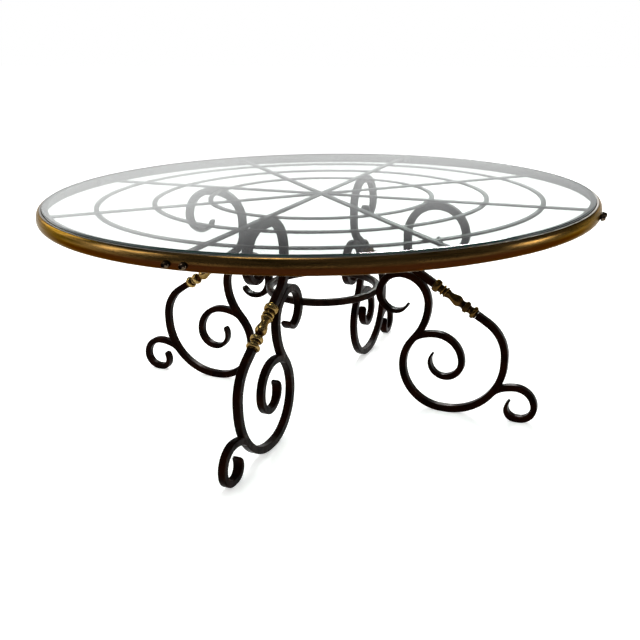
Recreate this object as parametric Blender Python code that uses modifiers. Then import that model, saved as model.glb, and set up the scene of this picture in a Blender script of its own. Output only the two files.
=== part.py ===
"""Round coffee table: scrolled iron legs, turned brass balusters, a brass rim and a loose glass top.

Metres, +Z up. The origin lies on the floor under the middle of the table, and the four legs stand
on the axes: front on -Y, right on +X, back on +Y and left on -X.
"""
import math
from collections import namedtuple

import bmesh
import bpy
from mathutils import Matrix, Vector

# Overall height, and the gap that is left between pieces that touch
TABLE_HEIGHT = 0.460
SEAT_GAP = 0.0003

# Glass plate
GLASS_RADIUS = 0.548
GLASS_THICKNESS = 0.010
GLASS_ARRIS = 0.0012
GLASS_PROUD = 0.0035
GLASS_PLAY = 0.0008

# Brass rim, a half-round moulding with a flat lip round the glass
RIM_HEIGHT = 0.0275
RIM_DEPTH = 0.0115
RIM_LIP = 0.0030

# Angle-section liner that carries the glass
LINER_THICKNESS = 0.004
LINER_LEDGE = 0.012
LINER_HEIGHT = 0.019

# Straps and support rings under the glass
STRAP_WIDTH = 0.012
STRAP_THICKNESS = 0.004
STRAP_CLEARANCE = 0.002
SUPPORT_RING_WIDTH = 0.010
SUPPORT_RING_THICKNESS = 0.004
INNER_RING_OFFSET = 0.039
OUTER_RING_INSET = 0.095

# Cleats, bolts and nuts that hold the leg-axis straps to the rim
CLEAT_LENGTH = 0.050
CLEAT_HEIGHT = 0.012
CLEAT_THICKNESS = 0.004
BOLT_SPACING = 0.030
BOLT_RADIUS = 0.0025
BOLT_HEAD_RADIUS = 0.0062
BOLT_HEAD_BASE = 0.0030
BOLT_HEAD_DOME = 0.0055
BOLT_TAIL = 0.002
BOLT_PLAY = 0.0003
NUT_RADIUS = 0.0046
NUT_THICKNESS = 0.004
NUT_SIDES = 6

# Forged bar of the legs
BAR_THICKNESS = 0.015
BAR_WIDTH = 0.015
BAR_SOFTENING = 0.0021
SCROLL_THICKNESS = 0.0125
TIP_THICKNESS = 0.0045
TIP_TAPER = 0.080

# Stretcher ring that the four top scrolls are fixed to
STRETCHER_OUTER_RADIUS = 0.122
STRETCHER_THICKNESS = 0.0135
STRETCHER_HEIGHT = 0.0135

# Main scroll: floor loop, S-bend up to the top scroll, and shoulder up to the baluster
LOOP_FLAT = 0.008
LOOP_INNER_RADIUS = 0.089
LOOP_OUTER_RADIUS = 0.119
LOOP_SIDE_RUN = 0.012
SHOULDER_RADIUS = 0.083
SHOULDER_RUN = 0.026
S_BEND_HEADING = math.radians(52)
S_BEND_RUN = 0.016
S_BEND_RADIUS = 0.116
CREST_OUTER_RADIUS = 0.060
CREST_INNER_RADIUS = 0.0455
HOOK_RADIUS = 0.036
HOOK_TIP_RADIUS = 0.028
HOOK_TIP_TURN = math.radians(70)

# Inner volute, which leaves the floor loop along its own curve and curls inside it
VOLUTE_ROOT_RADIUS = 0.045
VOLUTE_CROWN_HEADING = math.radians(20)
VOLUTE_CROWN_RADIUS = 0.095
VOLUTE_OUTER_RADIUS = 0.056
VOLUTE_LOWER_RADIUS = 0.0365
VOLUTE_INNER_RADIUS = 0.0315
VOLUTE_TIP_RADIUS = 0.029
VOLUTE_TIP_TURN = math.radians(38)
VOLUTE_TAPER = 0.110

# Foot scroll, which leaves the outside of the floor loop in the same way and curls under to the floor
FOOT_LEAVE_HEADING = math.radians(52)
FOOT_ROOT_RADIUS = 0.050
FOOT_CROWN_HEADING = math.radians(22)
FOOT_CROWN_RADIUS = 0.083
FOOT_LOWER_RADIUS = 0.029
FOOT_FLAT = 0.007
FOOT_INNER_RADIUS = 0.021
FOOT_TIP_RADIUS = 0.026
FOOT_TIP_TURN = math.radians(42)

# Arm from the baluster over the top scroll and up to the straps
ARM_RUN = 0.004
ARM_BEND_RADIUS = 0.050

# Turned brass baluster on its rod, with its places measured up from the foot collar
BALUSTER_LENGTH = 0.107
FOOT_COLLAR_RADIUS = 0.0125
FOOT_COLLAR_LENGTH = 0.008
LOWER_COVE_RADIUS = 0.0072
LOWER_COVE_PLACE = 0.0125
LOWER_RING_RADIUS = 0.0114
LOWER_RING_PLACE = 0.0222
LOWER_RING_LENGTH = 0.0104
NECK_RADIUS = 0.0062
NECK_PLACE = 0.0352
BELLY_RADIUS = 0.0101
BELLY_PLACE = 0.0440
WAIST_RADIUS = 0.0062
WAIST_PLACE = 0.0680
TWIN_RING_RADIUS = 0.0105
TWIN_RING_PLACE = 0.0770
TWIN_RING_PITCH = 0.0078
TWIN_GROOVE_RADIUS = 0.0078
UPPER_COVE_RADIUS = 0.0074
TOP_COLLAR_RADIUS = 0.0120
TOP_COLLAR_LENGTH = 0.0115
BEAD_WIDTH = 0.0052
ROD_RADIUS = 0.004
ROD_PLAY = 0.0003
TENON_DEPTH = 0.016

# Facets of the round shapes
TOP_STEPS = 60
RING_STEPS = 40
BALUSTER_STEPS = 12
BOLT_STEPS = 8
FACET_ANGLE = math.radians(20)
FACET_LENGTH = 0.028

# Angles that tell a hard edge, a bar's long edge and a flat join from the rest
HARD_EDGE_ANGLE = math.radians(35)
BAR_EDGE_ANGLE = math.radians(60)
FLAT_JOIN_ANGLE = math.radians(1)
WELD_DISTANCE = 0.000001

# Heights and radii that follow from the sizes above
GLASS_BOTTOM = TABLE_HEIGHT - GLASS_THICKNESS
RIM_TOP = TABLE_HEIGHT - GLASS_PROUD
RIM_BOTTOM = RIM_TOP - RIM_HEIGHT
LEDGE_TOP = GLASS_BOTTOM - SEAT_GAP
LEDGE_BOTTOM = LEDGE_TOP - LINER_THICKNESS
STRAP_TOP = LEDGE_BOTTOM - STRAP_CLEARANCE
STRAP_BOTTOM = STRAP_TOP - STRAP_THICKNESS
CLEAT_TOP = LEDGE_BOTTOM - SEAT_GAP
BOLT_LEVEL = CLEAT_TOP - CLEAT_HEIGHT / 2
RIM_INNER_RADIUS = GLASS_RADIUS + GLASS_PLAY
RIM_CROWN_RADIUS = RIM_INNER_RADIUS + RIM_DEPTH
LINER_OUTER_RADIUS = RIM_INNER_RADIUS - SEAT_GAP
LINER_INNER_RADIUS = LINER_OUTER_RADIUS - LINER_THICKNESS
FACET_INSET = math.cos(math.pi / TOP_STEPS)

SIDES = {"front": -math.pi / 2, "right": 0.0, "back": math.pi / 2, "left": math.pi}

Run = namedtuple("Run", "length")
Bend = namedtuple("Bend", "radius turn")
Station = namedtuple("Station", "x z heading")


def clear_scene():
    """Remove every object that the scene starts with."""
    for item in list(bpy.data.objects):
        bpy.data.objects.remove(item, do_unlink=True)


def new_collection(name):
    """Add a collection to the scene."""
    collection = bpy.data.collections.new(name)
    bpy.context.scene.collection.children.link(collection)
    return collection


def finish(name, colour, roughness, metallic=0.0, transmission=0.0):
    """Make a plain Principled material."""
    material = bpy.data.materials.new(name)
    material.use_nodes = True
    shader = material.node_tree.nodes["Principled BSDF"]
    shader.inputs["Base Color"].default_value = (*colour, 1.0)
    shader.inputs["Roughness"].default_value = roughness
    shader.inputs["Metallic"].default_value = metallic
    shader.inputs["Transmission Weight"].default_value = transmission
    material.diffuse_color = (*colour, 1.0)
    return material


def place(name, mesh, material, collection, parent=None, location=(0, 0, 0), rotation=(0, 0, 0)):
    """Put a mesh in the scene as a named piece."""
    piece = bpy.data.objects.new(name, mesh)
    collection.objects.link(piece)
    piece.parent = parent
    piece.location = location
    piece.rotation_euler = rotation
    if not mesh.materials:
        mesh.materials.append(material)
    return piece


def baked(piece):
    """Return the piece's mesh with its modifiers applied, welded and facing out, and remove the piece."""
    evaluated = piece.evaluated_get(bpy.context.evaluated_depsgraph_get())
    mesh = bpy.data.meshes.new_from_object(evaluated)
    bpy.data.objects.remove(piece, do_unlink=True)
    shape = bmesh.new()
    shape.from_mesh(mesh)
    bmesh.ops.remove_doubles(shape, verts=shape.verts, dist=WELD_DISTANCE)
    bmesh.ops.recalc_face_normals(shape, faces=shape.faces)
    shape.to_mesh(mesh)
    shape.free()
    return mesh


def smoothed(mesh):
    """Shade a mesh smooth, with its hard edges kept."""
    mesh.shade_smooth()
    mesh.set_sharp_from_angle(angle=HARD_EDGE_ANGLE)
    return mesh


def turned(name, profile, steps, collection, closed):
    """Turn a profile of (radius, height) points about Z; the profile runs from top to bottom outside."""
    shape = bmesh.new()
    corners = [shape.verts.new((radius, 0.0, height)) for radius, height in profile]
    for first, second in zip(corners, corners[1:]):
        shape.edges.new((first, second))
    if closed:
        shape.edges.new((corners[-1], corners[0]))
    mesh = bpy.data.meshes.new(name)
    shape.to_mesh(mesh)
    shape.free()
    piece = bpy.data.objects.new(name, mesh)
    collection.objects.link(piece)
    screw = piece.modifiers.new("turn", "SCREW")
    screw.steps = steps
    screw.render_steps = steps
    screw.use_merge_vertices = True
    screw.merge_threshold = WELD_DISTANCE
    return smoothed(baked(piece))


def cylinder_profile(radius, bottom, top):
    """Profile of a plain round bar."""
    return [(0.0, top), (radius, top), (radius, bottom), (0.0, bottom)]


def ring_profile(inner, outer, bottom, top):
    """Profile of a flat ring."""
    return [(inner, top), (outer, top), (outer, bottom), (inner, bottom)]


def extruded(name, outline, width, collection):
    """Extrude a flat outline of (x, z) points to both sides of the XZ plane."""
    curve = bpy.data.curves.new(name, "CURVE")
    curve.dimensions = "2D"
    curve.fill_mode = "BOTH"
    curve.extrude = width / 2
    spline = curve.splines.new("POLY")
    spline.points.add(len(outline) - 1)
    for point, (x, z) in zip(spline.points, outline):
        point.co = (x, z, 0.0, 1.0)
    spline.use_cyclic_u = True
    piece = bpy.data.objects.new(name, curve)
    collection.objects.link(piece)
    mesh = baked(piece)
    shape = bmesh.new()
    shape.from_mesh(mesh)
    bmesh.ops.dissolve_limit(shape, angle_limit=FLAT_JOIN_ANGLE, verts=shape.verts, edges=shape.edges)
    bmesh.ops.rotate(shape, verts=shape.verts, matrix=Matrix.Rotation(math.pi / 2, 3, "X"))
    shape.to_mesh(mesh)
    shape.free()
    return mesh


def trace(start, heading, moves):
    """Follow straight runs and arcs from a start point; a positive turn goes anticlockwise."""
    x, z = start
    stations = [Station(x, z, heading)]
    for move in moves:
        if isinstance(move, Run):
            x += move.length * math.cos(heading)
            z += move.length * math.sin(heading)
            stations.append(Station(x, z, heading))
            continue
        side = math.copysign(1.0, move.turn)
        centre_x = x - side * move.radius * math.sin(heading)
        centre_z = z + side * move.radius * math.cos(heading)
        arc = abs(move.turn) * move.radius
        count = math.ceil(max(abs(move.turn) / FACET_ANGLE, arc / FACET_LENGTH))
        for step in range(1, count + 1):
            angle = heading + move.turn * step / count
            x = centre_x + side * move.radius * math.sin(angle)
            z = centre_z - side * move.radius * math.cos(angle)
            stations.append(Station(x, z, angle))
        heading += move.turn
    return stations


def reverse(stations):
    """Return the same path, followed the other way."""
    return [Station(s.x, s.z, s.heading + math.pi) for s in reversed(stations)]


def shifted(stations, offset):
    """Move a path outwards from the middle of the table."""
    return [Station(s.x + offset, s.z, s.heading) for s in stations]


def bar_outline(stations, thickness, taper=TIP_TAPER):
    """Outline of a bar along a path, drawn down to a thin tip over the last stretch, if it has a taper."""
    lengths = [math.dist(a[:2], b[:2]) for a, b in zip(stations, stations[1:])]
    left_side = []
    right_side = []
    for index, station in enumerate(stations):
        to_tip = sum(lengths[index:])
        share = min(1.0, to_tip / taper) if taper else 1.0
        half = (TIP_THICKNESS + (thickness - TIP_THICKNESS) * share) / 2
        across = (-math.sin(station.heading) * half, math.cos(station.heading) * half)
        left_side.append((station.x + across[0], station.z + across[1]))
        right_side.append((station.x - across[0], station.z - across[1]))
    return left_side + right_side[::-1]


class LegPlan:
    """Centrelines of one leg in its own plane: x runs outwards from the middle of the table."""

    def __init__(self):
        floor = BAR_THICKNESS / 2
        to_crest = [
            Bend(LOOP_INNER_RADIUS, S_BEND_HEADING - math.pi),
            Run(S_BEND_RUN),
            Bend(S_BEND_RADIUS, math.pi / 2 - S_BEND_HEADING),
        ]
        to_ring = [Bend(CREST_OUTER_RADIUS, math.pi / 2), Bend(CREST_INNER_RADIUS, math.pi / 2)]
        to_tip = [Bend(HOOK_RADIUS, math.pi / 2), Bend(HOOK_TIP_RADIUS, HOOK_TIP_TURN)]
        loop_start = (0.0, floor)
        touch = trace(loop_start, math.pi, to_crest + to_ring)[-1]
        offset = STRETCHER_OUTER_RADIUS + SEAT_GAP + BAR_THICKNESS / 2 - touch.x
        self.stretcher_level = touch.z
        inner_side = shifted(trace(loop_start, math.pi, to_crest + to_ring + to_tip), offset)
        crest_side = shifted(trace(loop_start, math.pi, to_crest), offset)[-1]
        crest_centre = Vector((crest_side.x - CREST_OUTER_RADIUS, crest_side.z))
        loop_centre = Vector((offset + LOOP_FLAT, floor + LOOP_OUTER_RADIUS))
        shoulder_centre = loop_centre + Vector((LOOP_OUTER_RADIUS - SHOULDER_RADIUS, LOOP_SIDE_RUN))

        # The baluster's axis is the line that rests on the shoulder arc and clears the crest by one bar
        arm_clearance = CREST_OUTER_RADIUS + BAR_THICKNESS + SEAT_GAP
        span = crest_centre - shoulder_centre
        lean = math.asin((arm_clearance - SHOULDER_RADIUS) / span.length)
        self.heading = math.atan2(span.y, span.x) - lean
        self.direction = Vector((math.cos(self.heading), math.sin(self.heading)))

        outer_side = trace((offset, floor), 0.0, [
            Run(LOOP_FLAT),
            Bend(LOOP_OUTER_RADIUS, math.pi / 2),
            Run(LOOP_SIDE_RUN),
            Bend(SHOULDER_RADIUS, self.heading - math.pi / 2),
            Run(SHOULDER_RUN),
        ])
        self.main_scroll = reverse(outer_side) + inner_side[1:]
        self.seat = Vector((outer_side[-1].x, outer_side[-1].z))

        arm_start = self.seat + self.direction * (BALUSTER_LENGTH + 2 * SEAT_GAP)
        arm_straight = (crest_centre - arm_start).dot(self.direction) + ARM_RUN
        arm_bend = [Run(arm_straight), Bend(ARM_BEND_RADIUS, math.pi / 2 - self.heading)]
        bend_end = trace(arm_start, self.heading, arm_bend)[-1]
        rise = STRAP_BOTTOM - SEAT_GAP - bend_end.z
        self.arm = trace(arm_start, self.heading, arm_bend + [Run(rise)])
        self.arm_radius = bend_end.x

        volute_root = shifted(trace(loop_start, math.pi, to_crest[:1]), offset)[-1]
        self.inner_volute = trace(volute_root[:2], S_BEND_HEADING, [
            Bend(VOLUTE_ROOT_RADIUS, VOLUTE_CROWN_HEADING - S_BEND_HEADING),
            Bend(VOLUTE_CROWN_RADIUS, -VOLUTE_CROWN_HEADING),
            Bend(VOLUTE_OUTER_RADIUS, -math.pi / 2),
            Bend(VOLUTE_LOWER_RADIUS, -math.pi / 2),
            Bend(VOLUTE_INNER_RADIUS, -math.pi / 2),
            Bend(VOLUTE_TIP_RADIUS, -VOLUTE_TIP_TURN),
        ])

        to_foot = [Run(LOOP_FLAT), Bend(LOOP_OUTER_RADIUS, FOOT_LEAVE_HEADING)]
        foot_root = trace((offset, floor), 0.0, to_foot)[-1]
        to_foot_crown = [
            Bend(FOOT_ROOT_RADIUS, FOOT_CROWN_HEADING - FOOT_LEAVE_HEADING),
            Bend(FOOT_CROWN_RADIUS, -FOOT_CROWN_HEADING),
        ]
        foot_crown = trace(foot_root[:2], FOOT_LEAVE_HEADING, to_foot_crown)[-1]
        foot_outer_radius = foot_crown.z - SCROLL_THICKNESS / 2 - FOOT_LOWER_RADIUS
        self.foot_scroll = trace(foot_root[:2], FOOT_LEAVE_HEADING, to_foot_crown + [
            Bend(foot_outer_radius, -math.pi / 2),
            Bend(FOOT_LOWER_RADIUS, -math.pi / 2),
            Run(FOOT_FLAT),
            Bend(FOOT_INNER_RADIUS, -math.pi / 2),
            Bend(FOOT_TIP_RADIUS, -FOOT_TIP_TURN),
        ])
        # The foot is drawn down within its last two bends, so that it stands on a full flat
        self.foot_taper = FOOT_INNER_RADIUS + FOOT_TIP_RADIUS * FOOT_TIP_TURN

    def on_axis(self, distance):
        """Point on the baluster's axis, measured from the main scroll's end."""
        point = self.seat + self.direction * distance
        return Vector((point.x, 0.0, point.y))

    def axis_rotation(self):
        """Turn that lays a piece made along +Z on the baluster's axis."""
        return (0.0, math.pi / 2 - self.heading, 0.0)


def cut(piece, cutter):
    """Cut one piece with another."""
    boolean = piece.modifiers.new("cut", "BOOLEAN")
    boolean.operation = "DIFFERENCE"
    boolean.object = cutter


def soften(piece):
    """Break the long edges of a forged bar."""
    bevel = piece.modifiers.new("softened", "BEVEL")
    bevel.width = BAR_SOFTENING
    bevel.segments = 1
    bevel.limit_method = "ANGLE"
    bevel.angle_limit = BAR_EDGE_ANGLE


def cutter_from(name, mesh, cutters, location=(0, 0, 0), rotation=(0, 0, 0)):
    """Put a mesh in the scene as a hidden cutter."""
    cutter = bpy.data.objects.new(name, mesh)
    cutters.objects.link(cutter)
    cutter.location = location
    cutter.rotation_euler = rotation
    cutter.hide_render = True
    cutter.display_type = "WIRE"
    return cutter


def forged_bar(name, outline, collection, cutter):
    """Make a softened bar from its outline, and cut it to its neighbour."""
    piece = bpy.data.objects.new(name, extruded(name, outline, BAR_WIDTH, collection))
    collection.objects.link(piece)
    soften(piece)
    cut(piece, cutter)
    return smoothed(baked(piece))


def bead(place_up, radius, base_radius):
    """Three points of a half-round bead on a turned profile, from top to bottom."""
    half = BEAD_WIDTH / 2
    return [(base_radius, place_up + half), (radius, place_up), (base_radius, place_up - half)]


def baluster_profile():
    """Closed profile of the bored baluster, from the top collar down to the foot collar and up the bore."""
    bore = ROD_RADIUS + ROD_PLAY
    top = BALUSTER_LENGTH
    collar_middle = top - TOP_COLLAR_LENGTH / 2
    upper_twin = TWIN_RING_PLACE + TWIN_RING_PITCH
    cove_middle = (top - TOP_COLLAR_LENGTH + upper_twin + BEAD_WIDTH / 2) / 2
    belly_top = (BELLY_PLACE + WAIST_PLACE) / 2
    outside = [
        (UPPER_COVE_RADIUS, top),
        (TOP_COLLAR_RADIUS, collar_middle + TOP_COLLAR_LENGTH / 4),
        (TOP_COLLAR_RADIUS, collar_middle - TOP_COLLAR_LENGTH / 4),
        (UPPER_COVE_RADIUS, cove_middle),
        *bead(upper_twin, TWIN_RING_RADIUS, TWIN_GROOVE_RADIUS),
        *bead(TWIN_RING_PLACE, TWIN_RING_RADIUS, TWIN_GROOVE_RADIUS),
        (WAIST_RADIUS, WAIST_PLACE),
        ((WAIST_RADIUS + BELLY_RADIUS) / 2, belly_top),
        (BELLY_RADIUS, BELLY_PLACE + BEAD_WIDTH / 2),
        (BELLY_RADIUS, BELLY_PLACE - BEAD_WIDTH / 2),
        (NECK_RADIUS, NECK_PLACE),
        (LOWER_RING_RADIUS, LOWER_RING_PLACE + LOWER_RING_LENGTH / 4),
        (LOWER_RING_RADIUS, LOWER_RING_PLACE - LOWER_RING_LENGTH / 4),
        (LOWER_COVE_RADIUS, LOWER_COVE_PLACE),
        (FOOT_COLLAR_RADIUS, FOOT_COLLAR_LENGTH),
        (FOOT_COLLAR_RADIUS, FOOT_COLLAR_LENGTH / 3),
        (LOWER_COVE_RADIUS, 0.0),
    ]
    return outside + [(bore, 0.0), (bore, top)]


def rim_profile():
    """Closed profile of the rim: flat lip, half-round crown at the bolts' level, flat back."""
    centre_radius = RIM_INNER_RADIUS + RIM_LIP
    crown = RIM_CROWN_RADIUS - centre_radius
    quarter = [math.radians(angle) for angle in (90, 60, 30)]
    upper = [(centre_radius + crown * math.cos(a), BOLT_LEVEL + (RIM_TOP - BOLT_LEVEL) * math.sin(a))
             for a in quarter]
    lower = [(centre_radius + crown * math.cos(a), BOLT_LEVEL - (BOLT_LEVEL - RIM_BOTTOM) * math.sin(a))
             for a in reversed(quarter)]
    crown_point = [(RIM_CROWN_RADIUS, BOLT_LEVEL)]
    return [(RIM_INNER_RADIUS, RIM_TOP)] + upper + crown_point + lower + [(RIM_INNER_RADIUS, RIM_BOTTOM)]


def liner_profile():
    """Closed profile of the angle-section liner: ledge under the glass, leg against the rim."""
    ledge_edge = LINER_OUTER_RADIUS - LINER_LEDGE
    leg_bottom = LEDGE_TOP - LINER_HEIGHT
    return [
        (ledge_edge, LEDGE_TOP),
        (LINER_OUTER_RADIUS, LEDGE_TOP),
        (LINER_OUTER_RADIUS, leg_bottom),
        (LINER_INNER_RADIUS, leg_bottom),
        (LINER_INNER_RADIUS, LEDGE_BOTTOM),
        (ledge_edge, LEDGE_BOTTOM),
    ]


def glass_profile():
    """Open profile of the glass plate, from the middle of its top to the middle of its underside."""
    return [
        (0.0, GLASS_THICKNESS),
        (GLASS_RADIUS - GLASS_ARRIS, GLASS_THICKNESS),
        (GLASS_RADIUS, GLASS_THICKNESS - GLASS_ARRIS),
        (GLASS_RADIUS, GLASS_ARRIS),
        (GLASS_RADIUS - GLASS_ARRIS, 0.0),
        (0.0, 0.0),
    ]


def bolt_profile(shank):
    """Open profile of a bolt with a domed head; the seat of the head is at height 0."""
    dome = [
        (BOLT_HEAD_RADIUS * math.cos(a), BOLT_HEAD_BASE + BOLT_HEAD_DOME * math.sin(a))
        for a in (math.radians(angle) for angle in (60, 30, 0))
    ]
    top = [(0.0, BOLT_HEAD_BASE + BOLT_HEAD_DOME)]
    return top + dome + [(BOLT_HEAD_RADIUS, 0.0), (BOLT_RADIUS, 0.0), (BOLT_RADIUS, -shank), (0.0, -shank)]


def drilled_with(mesh, name, cutter, collection):
    """Cut a finished mesh with a cutter and return the result."""
    piece = bpy.data.objects.new(name, mesh)
    collection.objects.link(piece)
    cut(piece, cutter)
    return smoothed(baked(piece))


def box_mesh(name, size, centre):
    """Plain box of a given size."""
    shape = bmesh.new()
    matrix = Matrix.Translation(centre) @ Matrix.Diagonal((*size, 1.0))
    bmesh.ops.create_cube(shape, size=1.0, matrix=matrix)
    mesh = bpy.data.meshes.new(name)
    shape.to_mesh(mesh)
    shape.free()
    return mesh


def flat_bar(name, outline, collection):
    """Flat strap of the strap thickness, from an outline in plan."""
    curve_mesh = extruded(name, outline, STRAP_THICKNESS, collection)
    shape = bmesh.new()
    shape.from_mesh(curve_mesh)
    bmesh.ops.rotate(shape, verts=shape.verts, matrix=Matrix.Rotation(-math.pi / 2, 3, "X"))
    shape.to_mesh(curve_mesh)
    shape.free()
    return curve_mesh


def build_top(parts, cutters, iron, brass, glass):
    """Glass, rim and liner, with the bolt holes drilled."""
    place("glass_top", turned("glass_top", glass_profile(), TOP_STEPS, parts, False), glass, parts,
          location=(0, 0, GLASS_BOTTOM))
    drill = bmesh.new()
    hole_radius = BOLT_RADIUS + BOLT_PLAY
    hole_length = 4 * (RIM_DEPTH + LINER_THICKNESS)
    lay_down = Matrix.Rotation(math.pi / 2, 4, "Y")
    for angle in SIDES.values():
        for side in (-1, 1):
            local = Vector((RIM_INNER_RADIUS, side * BOLT_SPACING / 2, BOLT_LEVEL))
            matrix = Matrix.Rotation(angle, 4, "Z") @ Matrix.Translation(local) @ lay_down
            bmesh.ops.create_cone(drill, cap_ends=True, segments=BOLT_STEPS, depth=hole_length,
                                  radius1=hole_radius, radius2=hole_radius, matrix=matrix)
    drill_mesh = bpy.data.meshes.new("bolt_holes")
    drill.to_mesh(drill_mesh)
    drill.free()
    holes = cutter_from("bolt_holes", drill_mesh, cutters)
    rim = turned("brass_rim", rim_profile(), TOP_STEPS, parts, True)
    place("brass_rim", drilled_with(rim, "brass_rim", holes, parts), brass, parts)
    liner = turned("rim_liner", liner_profile(), TOP_STEPS, parts, True)
    place("rim_liner", drilled_with(liner, "rim_liner", holes, parts), iron, parts)


def build_straps(parts, iron, inner_ring_radius):
    """Straps that cross under the glass, and the three rings below them."""
    half = STRAP_WIDTH / 2
    level = (STRAP_TOP + STRAP_BOTTOM) / 2
    reach = cleat_face() - CLEAT_THICKNESS - SEAT_GAP
    long_strap = [(-reach, -half), (reach, -half), (reach, half), (-reach, half)]
    place("strap_front_back", flat_bar("strap_front_back", long_strap, parts), iron, parts,
          location=(0, 0, level), rotation=(0, 0, math.pi / 2))
    inner_end = half + SEAT_GAP
    short_strap = [(inner_end, -half), (reach, -half), (reach, half), (inner_end, half)]
    short_mesh = flat_bar("strap_side", short_strap, parts)
    for side in ("right", "left"):
        turn = (0, 0, SIDES[side])
        place(f"strap_{side}", short_mesh, iron, parts, location=(0, 0, level), rotation=turn)
    spoke_reach = math.sqrt(LINER_INNER_RADIUS ** 2 - half ** 2) * FACET_INSET - SEAT_GAP
    point = inner_end * math.sqrt(2)
    spoke = [
        (point, 0),
        (point + half, -half),
        (spoke_reach, -half),
        (spoke_reach, half),
        (point + half, half),
    ]
    spoke_mesh = flat_bar("spoke", spoke, parts)
    for index, name in enumerate(("back_right", "back_left", "front_left", "front_right")):
        angle = math.pi / 4 + index * math.pi / 2
        place(f"spoke_{name}", spoke_mesh, iron, parts, location=(0, 0, level), rotation=(0, 0, angle))
    outer_ring_radius = LINER_INNER_RADIUS - OUTER_RING_INSET
    radii = {
        "inner": inner_ring_radius,
        "middle": (inner_ring_radius + outer_ring_radius) / 2,
        "outer": outer_ring_radius,
    }
    ring_top = STRAP_BOTTOM - SEAT_GAP
    for name, radius in radii.items():
        edges = (radius - SUPPORT_RING_WIDTH / 2, radius + SUPPORT_RING_WIDTH / 2)
        profile = ring_profile(*edges, ring_top - SUPPORT_RING_THICKNESS, ring_top)
        place(f"support_ring_{name}", turned(f"support_ring_{name}", profile, RING_STEPS, parts, True),
              iron, parts)


def cleat_face():
    """Distance from the middle to the cleats' outer face, which bears on the liner at its two ends."""
    return math.sqrt(LINER_INNER_RADIUS ** 2 - (CLEAT_LENGTH / 2) ** 2) * FACET_INSET - SEAT_GAP


def build_fixings(parts, cutters, iron, steel, brass, hubs):
    """Cleats at the ends of the leg-axis straps, with their bolts and nuts."""
    face = cleat_face()
    nut_seat = face - CLEAT_THICKNESS - SEAT_GAP
    head_seat = RIM_CROWN_RADIUS + SEAT_GAP
    nut_inner = nut_seat - NUT_THICKNESS
    shank = head_seat - nut_inner + BOLT_TAIL
    along = (0.0, math.pi / 2, 0.0)
    bolt = turned("bolt", bolt_profile(shank), BOLT_STEPS, parts, False)
    hole_profile = cylinder_profile(BOLT_RADIUS + BOLT_PLAY, -shank, shank)
    hole_mesh = turned("hole", hole_profile, BOLT_STEPS, cutters, False)
    cleat = box_mesh("cleat", (CLEAT_THICKNESS, CLEAT_LENGTH, CLEAT_HEIGHT),
                     Vector((face - CLEAT_THICKNESS / 2, 0.0, BOLT_LEVEL)))
    for side in (-1, 1):
        hole_place = (face, side * BOLT_SPACING / 2, BOLT_LEVEL)
        hole = cutter_from("cleat_hole", hole_mesh, cutters, hole_place, along)
        bpy.context.view_layer.update()
        cleat = drilled_with(cleat, "cleat", hole, parts)
    nut_blank = cylinder_profile(NUT_RADIUS, 0.0, NUT_THICKNESS)
    nut = turned("nut_blank", nut_blank, NUT_SIDES, parts, False)
    nut_hole = cutter_from("nut_hole", hole_mesh, cutters)
    bpy.context.view_layer.update()
    nut = drilled_with(nut, "nut", nut_hole, parts)
    for name, hub in hubs.items():
        place(f"cleat_{name}", cleat, iron, parts, hub)
        for number, side in ((1, -1), (2, 1)):
            across = side * BOLT_SPACING / 2
            place(f"bolt_{name}_{number}", bolt, brass, parts, hub, (head_seat, across, BOLT_LEVEL), along)
            place(f"nut_{name}_{number}", nut, steel, parts, hub, (nut_inner, across, BOLT_LEVEL), along)


def build_legs(parts, cutters, iron, steel, brass, plan, hubs):
    """Four alike legs: three scrolls, an arm, and a brass baluster on its rod."""
    socket_length = BALUSTER_LENGTH + 2 * SEAT_GAP + 2 * TENON_DEPTH
    socket_profile = cylinder_profile(ROD_RADIUS + ROD_PLAY, 0.0, socket_length)
    socket_mesh = turned("rod_sockets", socket_profile, BALUSTER_STEPS, cutters, False)
    socket_start = plan.on_axis(-TENON_DEPTH)
    sockets = cutter_from("rod_sockets", socket_mesh, cutters, socket_start, plan.axis_rotation())
    weld_outline = bar_outline(plan.main_scroll, BAR_THICKNESS + 2 * SEAT_GAP)
    weld_mesh = extruded("weld_face", weld_outline, 2 * BAR_WIDTH, cutters)
    weld_face = cutter_from("weld_face", weld_mesh, cutters)
    bpy.context.view_layer.update()

    rod_ends = TENON_DEPTH - SEAT_GAP
    rod_length = BALUSTER_LENGTH + 2 * SEAT_GAP + 2 * rod_ends
    bars = {
        "main_scroll": (bar_outline(plan.main_scroll, BAR_THICKNESS), sockets),
        "inner_volute": (bar_outline(plan.inner_volute, SCROLL_THICKNESS, VOLUTE_TAPER), weld_face),
        "foot_scroll": (bar_outline(plan.foot_scroll, SCROLL_THICKNESS, plan.foot_taper), weld_face),
        "arm": (bar_outline(plan.arm, BAR_THICKNESS, None), sockets),
    }
    bar_meshes = {piece: forged_bar(piece, outline, parts, cutter)
                  for piece, (outline, cutter) in bars.items()}
    baluster = turned("baluster", baluster_profile(), BALUSTER_STEPS, parts, True)
    rod_profile = cylinder_profile(ROD_RADIUS, 0.0, rod_length)
    rod = turned("baluster_rod", rod_profile, BALUSTER_STEPS, parts, False)
    for name, hub in hubs.items():
        for piece, mesh in bar_meshes.items():
            place(f"{name}_{piece}", mesh, iron, parts, hub)
        place(f"{name}_baluster", baluster, brass, parts, hub, plan.on_axis(SEAT_GAP), plan.axis_rotation())
        place(f"{name}_baluster_rod", rod, steel, parts, hub, plan.on_axis(-rod_ends), plan.axis_rotation())


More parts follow.
